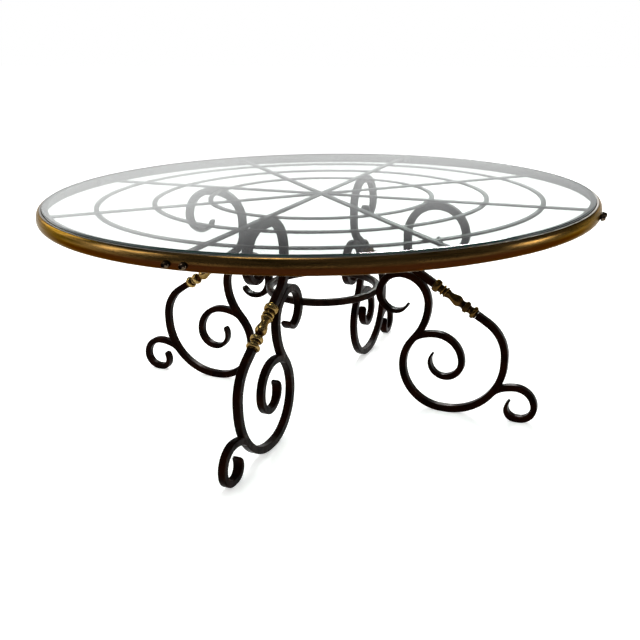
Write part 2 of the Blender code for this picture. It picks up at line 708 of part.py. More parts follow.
def build_stretcher(parts, iron, level):
    """Square-section ring that the top scrolls are fixed to."""
    inner = STRETCHER_OUTER_RADIUS - STRETCHER_THICKNESS
    half_height = STRETCHER_HEIGHT / 2
    profile = ring_profile(inner, STRETCHER_OUTER_RADIUS, level - half_height, level + half_height)
    place("stretcher_ring", turned("stretcher_ring", profile, RING_STEPS, parts, True), iron, parts)


def main():
    """Build the table."""
    clear_scene()
    parts = new_collection("scrolled_iron_coffee_table")
    cutters = new_collection("cutters")
    iron = finish("wrought_iron", (0.020, 0.013, 0.011), 0.45, metallic=0.6)
    brass = finish("aged_brass", (0.38, 0.23, 0.06), 0.30, metallic=1.0)
    steel = finish("plain_steel", (0.18, 0.17, 0.16), 0.40, metallic=1.0)
    glass = finish("clear_glass", (0.85, 0.96, 0.93), 0.02, transmission=1.0)

    hubs = {}
    for name, angle in SIDES.items():
        hub = bpy.data.objects.new(f"{name}_leg", None)
        parts.objects.link(hub)
        hub.rotation_euler = (0.0, 0.0, angle)
        hubs[name] = hub

    plan = LegPlan()
    build_top(parts, cutters, iron, brass, glass)
    build_straps(parts, iron, plan.arm_radius + INNER_RING_OFFSET)
    build_fixings(parts, cutters, iron, steel, brass, hubs)
    build_stretcher(parts, iron, plan.stretcher_level)
    build_legs(parts, cutters, iron, steel, brass, plan, hubs)


main()
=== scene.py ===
"""Dress a round coffee table: scrolled iron legs, turned brass balusters, a brass rim and a glass top.

Metres, +Z up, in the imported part's own frame: the origin lies on the floor under the middle of the
table, and the four legs stand on the axes, the front one on -Y and the right one on +X.
"""
import logging
import math
from collections.abc import Sequence
from dataclasses import dataclass
from enum import Enum

import bmesh
import bpy
from mathutils import Matrix, Vector


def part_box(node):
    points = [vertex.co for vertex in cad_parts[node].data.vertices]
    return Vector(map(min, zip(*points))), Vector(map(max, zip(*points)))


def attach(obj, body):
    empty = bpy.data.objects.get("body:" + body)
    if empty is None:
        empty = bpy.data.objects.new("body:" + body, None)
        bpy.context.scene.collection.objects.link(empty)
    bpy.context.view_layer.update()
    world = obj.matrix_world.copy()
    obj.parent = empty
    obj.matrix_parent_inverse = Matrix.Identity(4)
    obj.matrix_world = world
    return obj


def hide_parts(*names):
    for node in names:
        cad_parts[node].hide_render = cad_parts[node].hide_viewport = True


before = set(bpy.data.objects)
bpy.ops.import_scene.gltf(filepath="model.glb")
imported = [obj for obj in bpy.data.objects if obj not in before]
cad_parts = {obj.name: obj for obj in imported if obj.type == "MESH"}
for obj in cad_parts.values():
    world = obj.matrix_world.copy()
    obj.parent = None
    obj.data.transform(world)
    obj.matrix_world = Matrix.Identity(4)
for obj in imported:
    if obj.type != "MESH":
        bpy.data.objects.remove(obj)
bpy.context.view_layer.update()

LOG = logging.getLogger("coffee_table")
RELIEF = "relief"
SEAT_GAP = 0.0003
WELD = 1e-7
QUARTER = math.pi / 2
HARD_EDGE = math.radians(38)
IN_PLACE = Matrix.Identity(4)

# Longest steps that a bar is drawn in
RUN_STEP = 0.012
BEND_STEP = 0.007
BEND_STEP_TURN = math.radians(5)

# Steps and relief of a ring's eased corners
EASED_STEPS = 3
EASED_RELIEF = 0.8

# Sockets of a colour Mix node, whose names repeat
MIX_FACTOR = 0
MIX_A = 6
MIX_B = 7
MIX_RESULT = 2


class Side(Enum):
    """The four sides that the legs stand on, as turns about the table's upright axis."""

    FRONT = -QUARTER
    RIGHT = 0.0
    BACK = QUARTER
    LEFT = math.pi

    @property
    def word(self) -> str:
        """The side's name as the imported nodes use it."""
        return self.name.lower()

    @property
    def turn(self) -> Matrix:
        """The turn that carries a piece from the right-hand side to this one."""
        return Matrix.Rotation(self.value, 4, "Z")


# Straight part of each arm's curl, which differs from leg to leg
CURL_FLAT = {Side.FRONT: 0.033, Side.RIGHT: 0.003, Side.BACK: 0.017, Side.LEFT: 0.015}


class Body(Enum):
    """The bodies that pieces ride on."""

    TABLE = "table"
    GLASS = "glass"


class Slot(Enum):
    """The record's material slots."""

    IRON = "wrought_iron"
    BRASS = "aged_brass"
    STEEL = "plain_steel"
    GLASS = "clear_glass"


def linear(colour: str) -> tuple[float, float, float, float]:
    """Turn an sRGB hex colour into linear RGBA.

    Args:
        colour: Six hex digits after a hash sign.

    Returns:
        The linear colour, with an alpha of 1.
    """
    shares = [int(colour[place:place + 2], 16) / 255 for place in (1, 3, 5)]
    red, green, blue = (c / 12.92 if c <= 0.04045 else ((c + 0.055) / 1.055) ** 2.4 for c in shares)
    return red, green, blue, 1.0


def per_metre(millimetres: float) -> float:
    """Texture scale, in repeats per metre, of a pattern of a real size."""
    return 1000.0 / millimetres


def add_node(
    tree: bpy.types.NodeTree, kind: str, inputs: dict | None = None, **settings: object
) -> bpy.types.Node:
    """Add a node with its settings, and set or link its inputs.

    Args:
        tree: Node tree that the node goes into.
        kind: Blender's name of the node type, after its ShaderNode prefix.
        inputs: Value, or socket to link from, for each input by name or number.
        settings: Properties of the node itself.

    Returns:
        The new node.
    """
    node = tree.nodes.new(f"ShaderNode{kind}")
    for name, value in settings.items():
        setattr(node, name, value)
    for socket, value in (inputs or {}).items():
        if isinstance(value, bpy.types.NodeSocket):
            tree.links.new(value, node.inputs[socket])
        else:
            node.inputs[socket].default_value = value
    return node


def blank_material(name: str) -> tuple[bpy.types.Material, bpy.types.NodeTree]:
    """Make a material with an empty node tree.

    Args:
        name: Name of the material.

    Returns:
        The material and its tree.
    """
    material = bpy.data.materials.new(name)
    material.use_nodes = True
    material.node_tree.nodes.clear()
    return material, material.node_tree


@dataclass(frozen=True)
class WroughtIron:
    """Hand-forged iron under a worn dark wax: brown-black, satin, dimpled, with grey corners that are partly
    wax worn off and partly a painted highlight.
    """

    name: str = "waxed_wrought_iron"
    black: str = "#060201"
    brown: str = "#1a0803"
    rubbed: str = "#2c211b"
    mottle_mm: float = 34.0
    dimple_mm: float = 13.0
    scale_mm: float = 2.2
    sheen: str = "#c9876a"
    shine: float = 0.025
    smoothest: float = 0.24
    roughest: float = 0.42

    def material(self) -> bpy.types.Material:
        """Make the material.

        Returns:
            The finished node material.
        """
        # Forged bar gives the eye soft hammer dimples, cloudy wax, and paler corners that are partly worn
        # wax and partly a painted highlight
        material, tree = blank_material(self.name)
        place = add_node(tree, "TexCoord").outputs["Object"]
        mottle = add_node(tree, "TexNoise", {
            "Vector": place, "Scale": per_metre(self.mottle_mm), "Detail": 4.0, "Roughness": 0.6,
        }).outputs["Fac"]
        cloud = add_node(tree, "MapRange", {
            "Value": mottle, "From Min": 0.36, "From Max": 0.66,
        }).outputs["Result"]
        wax = add_node(tree, "Mix", {
            MIX_FACTOR: cloud, MIX_A: linear(self.black), MIX_B: linear(self.brown),
        }, data_type="RGBA").outputs[MIX_RESULT]
        # Relief lightens the corners towards the pale corner colour: partly wax worn off the edges, partly a
        # painted highlight.
        relief = add_node(tree, "Attribute", attribute_name=RELIEF).outputs["Fac"]
        corner = add_node(tree, "MapRange", {
            "Value": relief, "From Min": 0.45, "From Max": 1.0, "To Max": 0.9,
        }, interpolation_type="SMOOTHSTEP").outputs["Result"]
        rubbed = add_node(tree, "Math", {0: corner, 1: cloud}, operation="MULTIPLY").outputs[0]
        colour = add_node(tree, "Mix", {
            MIX_FACTOR: rubbed, MIX_A: wax, MIX_B: linear(self.rubbed),
        }, data_type="RGBA").outputs[MIX_RESULT]
        roughness = add_node(tree, "MapRange", {
            "Value": mottle, "From Min": 0.3, "From Max": 0.7,
            "To Min": self.roughest, "To Max": self.smoothest,
        }).outputs["Result"]
        dimples = add_node(tree, "TexVoronoi", {
            "Vector": place, "Scale": per_metre(self.dimple_mm), "Smoothness": 1.0,
        }, feature="SMOOTH_F1").outputs["Distance"]
        scale = add_node(tree, "TexNoise", {
            "Vector": place, "Scale": per_metre(self.scale_mm), "Detail": 2.0,
        }).outputs["Fac"]
        hammered = add_node(tree, "Bump", {
            "Height": dimples, "Strength": 0.35, "Distance": 0.0022,
        }).outputs["Normal"]
        scaled = add_node(tree, "Bump", {
            "Height": scale, "Strength": 0.22, "Distance": 0.0004, "Normal": hammered,
        }).outputs["Normal"]
        shader = add_node(tree, "BsdfPrincipled", {
            "Base Color": colour, "Roughness": roughness, "Specular IOR Level": self.shine,
            "Specular Tint": linear(self.sheen), "Normal": scaled,
        }).outputs["BSDF"]
        add_node(tree, "OutputMaterial", {"Surface": shader})
        return material


@dataclass(frozen=True)
class AgedBrass:
    """Old brass: warm gold where it is worn bright, brown in the hollows, with cloudy patina and dark
    specks; an underside given low relief takes the same brown as painted shade.
    """

    name: str = "turned_aged_brass"
    bright: str = "#9a8050"
    hollow: str = "#261305"
    patina: str = "#70582f"
    speck: str = "#2a190b"
    grazing: str = "#c9bda9"
    patina_mm: float = 26.0
    patina_detail: float = 1.0
    flatten: float = 1.0
    speck_mm: float = 5.0
    speck_level: float = 0.76
    hollow_below: float = 0.15
    crown_above: float = 0.75
    pitting: float = 0.04
    smoothest: float = 0.18
    roughest: float = 0.30

    def material(self) -> bpy.types.Material:
        """Make the material.

        Returns:
            The finished node material.
        """
        # Lacquer long gone: worn crowns shine, hollows keep their brown, and specks pit the bands; an
        # underside given low relief takes that brown as painted shade
        material, tree = blank_material(self.name)
        place = add_node(tree, "TexCoord").outputs["Object"]
        laid = add_node(tree, "Mapping", {
            "Vector": place, "Scale": (1.0, 1.0, self.flatten),
        }).outputs["Vector"]
        cloud = add_node(tree, "TexNoise", {
            "Vector": laid, "Scale": per_metre(self.patina_mm), "Detail": self.patina_detail,
            "Roughness": 0.62,
        }).outputs["Fac"]
        tarnish = add_node(tree, "MapRange", {
            "Value": cloud, "From Min": 0.38, "From Max": 0.64,
        }).outputs["Result"]
        metal = add_node(tree, "Mix", {
            MIX_FACTOR: tarnish, MIX_A: linear(self.bright), MIX_B: linear(self.patina),
        }, data_type="RGBA").outputs[MIX_RESULT]
        relief = add_node(tree, "Attribute", attribute_name=RELIEF).outputs["Fac"]
        # Low relief takes the dark colour: patina in hollows, and on the rim's underside a painted dark
        # reflection.
        depth = add_node(tree, "MapRange", {
            "Value": relief, "From Min": self.hollow_below, "From Max": self.crown_above,
            "To Min": 1.0, "To Max": 0.0,
        }, interpolation_type="SMOOTHSTEP").outputs["Result"]
        shaded = add_node(tree, "Mix", {
            MIX_FACTOR: depth, MIX_A: metal, MIX_B: linear(self.hollow),
        }, data_type="RGBA").outputs[MIX_RESULT]
        pits = add_node(tree, "TexNoise", {
            "Vector": laid, "Scale": per_metre(self.speck_mm), "Detail": 3.0,
        }).outputs["Fac"]
        specks = add_node(tree, "MapRange", {
            "Value": pits, "From Min": self.speck_level - 0.06, "From Max": self.speck_level + 0.06,
        }).outputs["Result"]
        colour = add_node(tree, "Mix", {
            MIX_FACTOR: specks, MIX_A: shaded, MIX_B: linear(self.speck),
        }, data_type="RGBA").outputs[MIX_RESULT]
        roughness = add_node(tree, "MapRange", {
            "Value": cloud, "From Min": 0.3, "From Max": 0.7,
            "To Min": self.smoothest, "To Max": self.roughest,
        }).outputs["Result"]
        bump = add_node(tree, "Bump", {
            "Height": pits, "Strength": self.pitting, "Distance": 0.0008,
        }).outputs["Normal"]
        shader = add_node(tree, "BsdfPrincipled", {
            "Base Color": colour, "Roughness": roughness, "Metallic": 1.0,
            "Specular Tint": linear(self.grazing), "Normal": bump,
        }).outputs["BSDF"]
        add_node(tree, "OutputMaterial", {"Surface": shader})
        return material


@dataclass(frozen=True)
class PlainSteel:
    """Bright drawn steel of the rods and nuts: grey, with fine drawing marks and a little dulling."""

    name: str = "drawn_steel"
    pale: str = "#8f8c88"
    dull: str = "#5c5854"
    mark_mm: float = 3.0

    def material(self) -> bpy.types.Material:
        """Make the material.

        Returns:
            The finished node material.
        """
        # Drawn bar gives the eye a soft grey sheen, broken by duller patches
        material, tree = blank_material(self.name)
        place = add_node(tree, "TexCoord").outputs["Object"]
        marks = add_node(tree, "TexNoise", {
            "Vector": place, "Scale": per_metre(self.mark_mm), "Detail": 3.0,
        }).outputs["Fac"]
        colour = add_node(tree, "Mix", {
            MIX_FACTOR: marks, MIX_A: linear(self.pale), MIX_B: linear(self.dull),
        }, data_type="RGBA").outputs[MIX_RESULT]
        roughness = add_node(tree, "MapRange", {
            "Value": marks, "To Min": 0.25, "To Max": 0.5,
        }).outputs["Result"]
        shader = add_node(tree, "BsdfPrincipled", {
            "Base Color": colour, "Roughness": roughness, "Metallic": 1.0,
        }).outputs["BSDF"]
        add_node(tree, "OutputMaterial", {"Surface": shader})
        return material


@dataclass(frozen=True)
class ClearGlass:
    """Clear float glass: polished faces with the faintest wiping marks."""

    tint: str = "#eef6f3"
    smear_mm: float = 70.0
    ior: float = 1.52

    def material(self) -> bpy.types.Material:
        """Make the material.

        Returns:
            The finished node material.
        """
        # Polished float glass mirrors the room at a low angle and lets the ironwork show through
        material, tree = blank_material("clear_float_glass")
        place = add_node(tree, "TexCoord").outputs["Object"]
        smears = add_node(tree, "TexNoise", {
            "Vector": place, "Scale": per_metre(self.smear_mm), "Detail": 3.0, "Distortion": 0.8,
        }).outputs["Fac"]
        roughness = add_node(tree, "MapRange", {
            "Value": smears, "From Min": 0.4, "From Max": 0.7, "To Min": 0.0, "To Max": 0.02,
        }).outputs["Result"]
        shader = add_node(tree, "BsdfPrincipled", {
            "Base Color": linear(self.tint), "Roughness": roughness, "Transmission Weight": 1.0,
            "IOR": self.ior,
        }).outputs["BSDF"]
        passing = add_node(tree, "BsdfTransparent", {"Color": linear(self.tint)}).outputs["BSDF"]
        from_lamp = add_node(tree, "LightPath").outputs["Is Shadow Ray"]
        lit_through = add_node(
            tree, "MixShader", {0: from_lamp, 1: shader, 2: passing}).outputs["Shader"]
        add_node(tree, "OutputMaterial", {"Surface": lit_through})
        return material


@dataclass(frozen=True)
class GlassEdge:
    """Ground and polished edge of float glass, deep teal because it is seen through its whole width."""

    deep: str = "#061a18"
    pale: str = "#14403b"
    wave_mm: float = 45.0
    ior: float = 1.52

    def material(self) -> bpy.types.Material:
        """Make the material.

        Returns:
            The finished node material.
        """
        # Iron in the glass turns the edge a dark blue-green, with paler stretches where light leaks out
        material, tree = blank_material("ground_glass_edge")
        place = add_node(tree, "TexCoord").outputs["Object"]
        waves = add_node(tree, "TexNoise", {
            "Vector": place, "Scale": per_metre(self.wave_mm), "Detail": 2.0,
        }).outputs["Fac"]
        colour = add_node(tree, "Mix", {
            MIX_FACTOR: waves, MIX_A: linear(self.deep), MIX_B: linear(self.pale),
        }, data_type="RGBA").outputs[MIX_RESULT]
        roughness = add_node(tree, "MapRange", {
            "Value": waves, "To Min": 0.08, "To Max": 0.22,
        }).outputs["Result"]
        shader = add_node(tree, "BsdfPrincipled", {
            "Base Color": colour, "Roughness": roughness, "IOR": self.ior,
        }).outputs["BSDF"]
        add_node(tree, "OutputMaterial", {"Surface": shader})
        return material


def set_down(
    shape: bmesh.types.BMesh, name: str, finishes: Sequence[bpy.types.Material], node: str,
    place: Matrix = IN_PLACE, body: Body = Body.TABLE,
) -> None:
    """Put a shape in the scene as a piece, and let it stand for its CAD node.

    Args:
        shape: Finished bmesh, which is freed.
        name: Name of the piece.
        finishes: Materials, in the order of the faces' material numbers.
        node: CAD node that the piece replaces.
        place: Move and turn that carry the shape to its place.
        body: Body that the piece rides on.
    """
    bmesh.ops.transform(shape, matrix=place, verts=shape.verts)
    bmesh.ops.recalc_face_normals(shape, faces=shape.faces)
    mesh = bpy.data.meshes.new(name)
    shape.to_mesh(mesh)
    shape.free()
    mesh.shade_smooth()
    mesh.set_sharp_from_angle(angle=HARD_EDGE)
    for finish in finishes:
        mesh.materials.append(finish)
    piece = bpy.data.objects.new(name, mesh)
    bpy.context.scene.collection.objects.link(piece)
    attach(piece, body.value)
    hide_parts(node)
    LOG.info("%s stands for %s", name, node)


def centre_of(node: str) -> Vector:
    """Middle of a CAD node's box."""
    low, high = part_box(node)
    return (Vector(low) + Vector(high)) / 2


ProfilePoint = tuple[float, float, float]


def turned(profile: Sequence[ProfilePoint], steps: int, closed: bool = True) -> bmesh.types.BMesh:
    """Turn a profile about the upright axis.

    Args:
        profile: Radius, height and relief of each point; relief is 0 in a recess and on a painted dark
            underside, and 1 on a crown.
        steps: Number of flats round the turn.
        closed: Whether the profile's last point joins its first.

    Returns:
        The turned shape.
    """
    shape = bmesh.new()
    relief = shape.verts.layers.float.new(RELIEF)
    corners = []
    for radius, height, proud in profile:
        corner = shape.verts.new((radius, 0.0, height))
        corner[relief] = proud
        corners.append(corner)
    following = corners[1:] + corners[:1] if closed else corners[1:]
    for first, second in zip(corners, following):
        shape.edges.new((first, second))
    bmesh.ops.spin(
        shape, geom=shape.verts[:] + shape.edges[:], cent=(0, 0, 0), axis=(0, 0, 1),
        angle=math.tau, steps=steps, use_merge=True,
    )
    bmesh.ops.remove_doubles(shape, verts=shape.verts, dist=WELD)
    return shape


def rounded_ring(inner: float, outer: float, bottom: float, top: float, soft: float) -> list[ProfilePoint]:
    """Profile of a flat ring with softened corners.

    Args:
        inner: Inner radius.
        outer: Outer radius.
        bottom: Height of the underside.
        top: Height of the upper side.
        soft: Radius of the corners.

    Returns:
        The closed profile.
    """
    corners = ((outer, top, 0.0), (inner, top, QUARTER), (inner, bottom, math.pi), (outer, bottom, -QUARTER))
    profile = []
    for radius, height, start in corners:
        across = radius + (soft if radius == inner else -soft)
        up = height + (soft if height == bottom else -soft)
        for step in range(EASED_STEPS + 1):
            angle = start + step / EASED_STEPS * QUARTER
            profile.append((across + soft * math.cos(angle), up + soft * math.sin(angle), EASED_RELIEF))
    return profile


def flat_bar(low: Vector, high: Vector, soft: float) -> bmesh.types.BMesh:
    """Make a straight bar that fills a box, with softened edges.

    Args:
        low: Lowest corner of the box.
        high: Highest corner of the box.
        soft: Radius of the edges.

    Returns:
        The bar.
    """
    shape = bmesh.new()
    shape.verts.layers.float.new(RELIEF)
    middle = (Vector(low) + Vector(high)) / 2
    size = Vector(high) - Vector(low)
    bmesh.ops.create_cube(shape, size=1.0, matrix=Matrix.Translation(middle) @ Matrix.Diagonal((*size, 1.0)))
    bmesh.ops.bevel(
        shape, geom=shape.edges[:], offset=soft, offset_type="OFFSET", segments=2, profile=0.5,
        affect="EDGES", material=-1,
    )
    return shape


@dataclass
class GlassTop:
    """Loose glass plate with a ground edge, which stands a little proud of the rim."""

    arris: float = 0.0012
    arris_steps: int = 3
    flat_guard: float = 0.0010
    steps: int = 180

    def build(self, clear: bpy.types.Material, edge: bpy.types.Material) -> None:
        """Turn the plate and dress its faces and edge.

        Args:
            clear: Finish of the faces.
            edge: Finish of the edge.
        """
        low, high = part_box("glass_top")
        shoulder = high.x - self.arris
        level = high.z - self.arris
        upper = [(0.0, high.z, 1.0), (shoulder - self.flat_guard, high.z, 1.0)]
        for step in range(self.arris_steps + 1):
            angle = QUARTER * step / self.arris_steps
            across, up = self.arris * math.sin(angle), self.arris * math.cos(angle)
            upper.append((shoulder + across, level + up, 1.0))
        lower = [(radius, low.z + high.z - height, relief) for radius, height, relief in reversed(upper)]
        shape = turned(upper + lower, self.steps, closed=False)
        for face in shape.faces:
            face.material_index = 0 if face.calc_center_median().to_2d().length < shoulder else 1
        set_down(shape, "glass_plate", [clear, edge], "glass_top", body=Body.GLASS)


@dataclass
class BrassRim:
    """Half-round brass moulding round the glass, with a flat lip, and the iron angle that lines it."""

    depth: float = 0.0115
    lip: float = 0.0030
    lip_edge: float = 0.0006
    lip_facing: float = 0.95
    crown_steps: int = 14
    liner_thickness: float = 0.004
    liner_ledge: float = 0.012
    liner_softening: float = 0.0008
    liner_relief: float = 0.6
    steps: int = 180

    def profile(self) -> list[ProfilePoint]:
        """Draw the moulding's lip, its crown at the bolts' level, and its flat back.

        Returns:
            The closed profile.
        """
        low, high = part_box("brass_rim")
        crown_level = centre_of("cleat_right").z
        inner = high.x - self.depth
        middle = inner + self.lip
        bulge = self.depth - self.lip
        points = [(inner, high.z - self.lip_edge, 1.0), (inner + self.lip_edge, high.z, 1.0)]
        for step in range(2 * self.crown_steps + 1):
            angle = QUARTER * (1 - step / self.crown_steps)
            reach = high.z - crown_level if angle > 0 else crown_level - low.z
            # Relief falls from 1 at the top to 0 at the bottom, so the brass finish paints the lower half
            # dark, a painted reflection of a dark floor.
            relief = 0.5 + 0.5 * math.sin(angle)
            points.append((middle + bulge * math.cos(angle), crown_level + reach * math.sin(angle), relief))
        points.append((inner, low.z, 0.0))
        return points

    def liner_profile(self) -> list[ProfilePoint]:
        """Draw the angle, with a ledge under the glass and a leg against the moulding.

        Returns:
            The closed profile.
        """
        low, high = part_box("rim_liner")
        rim_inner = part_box("brass_rim")[1].x - self.depth
        ledge_edge = rim_inner - SEAT_GAP - self.liner_ledge
        leg_inner = high.x - self.liner_thickness
        ledge_bottom = high.z - self.liner_thickness
        soft = self.liner_softening
        proud = self.liner_relief
        return [
            (ledge_edge + soft, high.z, proud), (high.x - soft, high.z, proud),
            (high.x, high.z - soft, proud), (high.x, low.z + soft, proud),
            (high.x - soft, low.z, proud), (leg_inner + soft, low.z, proud),
            (leg_inner, low.z + soft, proud), (leg_inner, ledge_bottom, 0.0),
            (ledge_edge + soft, ledge_bottom, proud), (ledge_edge, ledge_bottom + soft, proud),
            (ledge_edge, high.z - soft, proud),
        ]

    def build(self, brass: bpy.types.Material, lip: bpy.types.Material, iron: bpy.types.Material) -> None:
        """Turn the moulding and its liner.

        Args:
            brass: Finish of the moulding.
            lip: Pale metal for the upward faces of the lip, a painted highlight along the rim's top edge.
            iron: Finish of the liner.
        """
        moulding = turned(self.profile(), self.steps)
        moulding.normal_update()
        upper_half = centre_of("brass_rim").z
        # Upward faces on the rim's top take the pale lip finish, a painted highlight along the top edge.
        for face in moulding.faces:
            on_lip_highlight = abs(face.normal.z) > self.lip_facing and face.calc_center_median().z > upper_half
            face.material_index = 1 if on_lip_highlight else 0
        set_down(moulding, "rim_moulding", [brass, lip], "brass_rim")
        set_down(turned(self.liner_profile(), self.steps), "rim_angle", [iron], "rim_liner")


@dataclass
class GlassFrame:
    """Flat straps that cross under the glass, and the three hoops that they lie on."""

    edge: float = 0.0008
    strap_width: float = 0.012
    ring_width: float = 0.010
    steps: int = 144

    def build(self, iron: bpy.types.Material) -> None:
        """Lay the straps, spokes and hoops.

        Args:
            iron: Finish of the flat iron.
        """
        for node in ("strap_front_back", "strap_right", "strap_left"):
            set_down(flat_bar(*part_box(node), self.edge), f"flat_{node}", [iron], node)
        self.lay_spokes(iron)
        for name in ("inner", "middle", "outer"):
            node = f"support_ring_{name}"
            low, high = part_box(node)
            profile = rounded_ring(high.x - self.ring_width, high.x, low.z, high.z, self.edge)
            set_down(turned(profile, self.steps), f"{name}_hoop", [iron], node)

    def lay_spokes(self, iron: bpy.types.Material) -> None:
        """Lay the four slanting spokes, each pointed to fit the corner of the straps.

        Args:
            iron: Finish of the flat iron.
        """
        half = self.strap_width / 2
        low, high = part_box("spoke_back_right")
        reach = high.x * math.sqrt(2) - half
        point = low.x * math.sqrt(2)
        for index, name in enumerate(("back_right", "back_left", "front_left", "front_right")):
            turn = Matrix.Rotation(math.pi / 4 + index * QUARTER, 4, "Z")
            shape = flat_bar(Vector((point, -half, low.z)), Vector((reach, half, high.z)), self.edge)
            for side in (-1, 1):
                cut = bmesh.ops.bisect_plane(
                    shape, geom=shape.verts[:] + shape.edges[:] + shape.faces[:], dist=WELD,
                    plane_co=(point, 0, 0), plane_no=(-1, side, 0), clear_outer=True,
                )["geom_cut"]
                bmesh.ops.edgeloop_fill(shape, edges=[g for g in cut if isinstance(g, bmesh.types.BMEdge)])
            set_down(shape, f"flat_spoke_{name}", [iron], f"spoke_{name}", turn)


@dataclass(frozen=True)
class Stop:
    """A place on a bar's centreline in the leg's plane, and the way that the bar heads there."""

    x: float
    z: float
    heading: float

    def axes(self) -> Matrix:
        """Local axes at the stop: X along the bar, Y across the leg's plane, Z across the bar."""
        return Matrix.Translation((self.x, 0.0, self.z)) @ Matrix.Rotation(-self.heading, 4, "Y")


@dataclass(frozen=True)
class Run:
    """A straight stretch of bar."""

    length: float

    def steps(self) -> int:
        """Number of equal steps that the stretch is drawn in."""
        return max(1, math.ceil(self.length / RUN_STEP))

    def after(self, start: Stop, share: float = 1.0) -> Stop:
        """Go along the stretch.

        Args:
            start: Stop where it begins.
            share: Share of it to go.

        Returns:
            The stop that is reached.
        """
        ahead = self.length * share
        return Stop(
            start.x + ahead * math.cos(start.heading),
            start.z + ahead * math.sin(start.heading),
            start.heading,
        )


@dataclass(frozen=True)
class Bend:
    """A bend of bar to a radius; a positive turn goes anticlockwise."""

    radius: float
    turn: float

    @property
    def length(self) -> float:
        """Length of the bend along the centreline."""
        return self.radius * abs(self.turn)

    def steps(self) -> int:
        """Number of equal steps that the bend is drawn in."""
        return math.ceil(max(abs(self.turn) / BEND_STEP_TURN, self.length / BEND_STEP))

    def after(self, start: Stop, share: float = 1.0) -> Stop:
        """Go round the bend.

        Args:
            start: Stop where it begins.
            share: Share of it to go.

        Returns:
            The stop that is reached.
        """
        side = math.copysign(self.radius, self.turn)
        heading = start.heading + self.turn * share
        return Stop(
            start.x + side * (math.sin(heading) - math.sin(start.heading)),
            start.z - side * (math.cos(heading) - math.cos(start.heading)),
            heading,
        )


Move = Run | Bend


def follow(start: Stop, moves: Sequence[Move]) -> Stop:
    """Follow a path to its end.

    Args:
        start: First stop.
        moves: Runs and bends in order.

    Returns:
        The last stop.
    """
    for move in moves:
        start = move.after(start)
    return start


@dataclass
class ForgedBar:
    """Square bar with softened corners that is drawn along a path, down to a thin tip."""

    thickness: float
    width: float
    tip: float = 0.0045
    spread: float = 1.38
    spread_reach: float = 0.050
    nose: float = 0.008
    nose_width: float = 0.5
    corner: float = 0.0017
    corner_steps: int = 4
    flat_guard: float = 0.0007
    end_edge: float = 0.0008

    def section(self, shape: bmesh.types.BMesh, start: Stop) -> list[bmesh.types.BMEdge]:
        """Draw the bar's section, a square with round corners, at its first stop.

        Args:
            shape: Bmesh to draw in.
            start: First stop.

        Returns:
            The edges of the section.
        """
        relief = shape.verts.layers.float.new(RELIEF)
        stations = [(step / self.corner_steps, 0.0) for step in range(self.corner_steps + 1)]
        stations = [(0.0, -self.flat_guard), *stations, (1.0, self.flat_guard)]
        made = []
        for quarter in range(4):
            middle = (quarter + 0.5) * QUARTER
            across = math.copysign(self.width / 2 - self.corner, math.cos(middle))
            along = math.copysign(self.thickness / 2 - self.corner, math.sin(middle))
            for share, beyond in stations:
                angle = (quarter + share) * QUARTER
                made.append(shape.verts.new((
                    0.0,
                    across + self.corner * math.cos(angle) - beyond * math.sin(angle),
                    along + self.corner * math.sin(angle) + beyond * math.cos(angle),
                )))
                # Relief peaks on the corners, which the iron's finish paints paler: partly worn wax, partly
                # a painted highlight.
                made[-1][relief] = math.sin(math.pi * share)
        for first, second in zip(made, made[1:] + made[:1]):
            shape.edges.new((first, second))
        bmesh.ops.transform(shape, matrix=start.axes(), verts=made)
        return shape.edges[:]

    def size_at(self, to_tip: float, taper: float) -> tuple[float, float]:
        """Width and thickness of the bar at a place along it.

        Args:
            to_tip: Distance left to the tip.
            taper: Length over which the tip is drawn down, or 0 for a full end.

        Returns:
            The width across the leg's plane, hammered wider and rounded off at the nose, and the thickness.
        """
        if not taper:
            return self.width, self.thickness
        share = min(1.0, to_tip / taper)
        hammered = max(0.0, 1.0 - to_tip / self.spread_reach)
        rounding = max(0.0, 1.0 - to_tip / self.nose)
        narrowing = 1.0 - (1.0 - self.nose_width) * (1.0 - math.sqrt(1.0 - rounding ** 2))
        widening = 1.0 + (self.spread - 1.0) * hammered * (2.0 - hammered)
        return self.width * widening * narrowing, self.tip + (self.thickness - self.tip) * share

    def draw(self, start: Stop, moves: Sequence[Move], taper: float) -> bmesh.types.BMesh:
        """Draw the bar along its path.

        Args:
            start: First stop.
            moves: Runs and bends in order.
            taper: Length over which the tip is drawn down, or 0 for a full end.

        Returns:
            The closed bar.
        """
        shape = bmesh.new()
        ring = self.section(shape, start)
        ends = list(ring)
        left = sum(move.length for move in moves)
        stop = start
        width, depth = self.width, self.thickness
        for move in moves:
            origin = stop
            count = move.steps()
            for step in range(1, count + 1):
                ahead = move.after(origin, step / count)
                left -= move.length / count
                new_width, new_depth = self.size_at(max(0.0, left), taper)
                drawn = Matrix.Diagonal((1.0, new_width / width, new_depth / depth, 1.0))
                grown = bmesh.ops.extrude_edge_only(shape, edges=ring)["geom"]
                ring = [part for part in grown if isinstance(part, bmesh.types.BMEdge)]
                moved = [part for part in grown if isinstance(part, bmesh.types.BMVert)]
                carry = ahead.axes() @ drawn @ stop.axes().inverted()
                bmesh.ops.transform(shape, matrix=carry, verts=moved)
                stop = ahead
                width, depth = new_width, new_depth
        bmesh.ops.edgeloop_fill(shape, edges=ends)
        bmesh.ops.edgeloop_fill(shape, edges=ring)
        bmesh.ops.bevel(
            shape, geom=ends + ring, offset=self.end_edge, offset_type="OFFSET", segments=2,
            profile=0.5, affect="EDGES", material=-1,
        )
        return shape


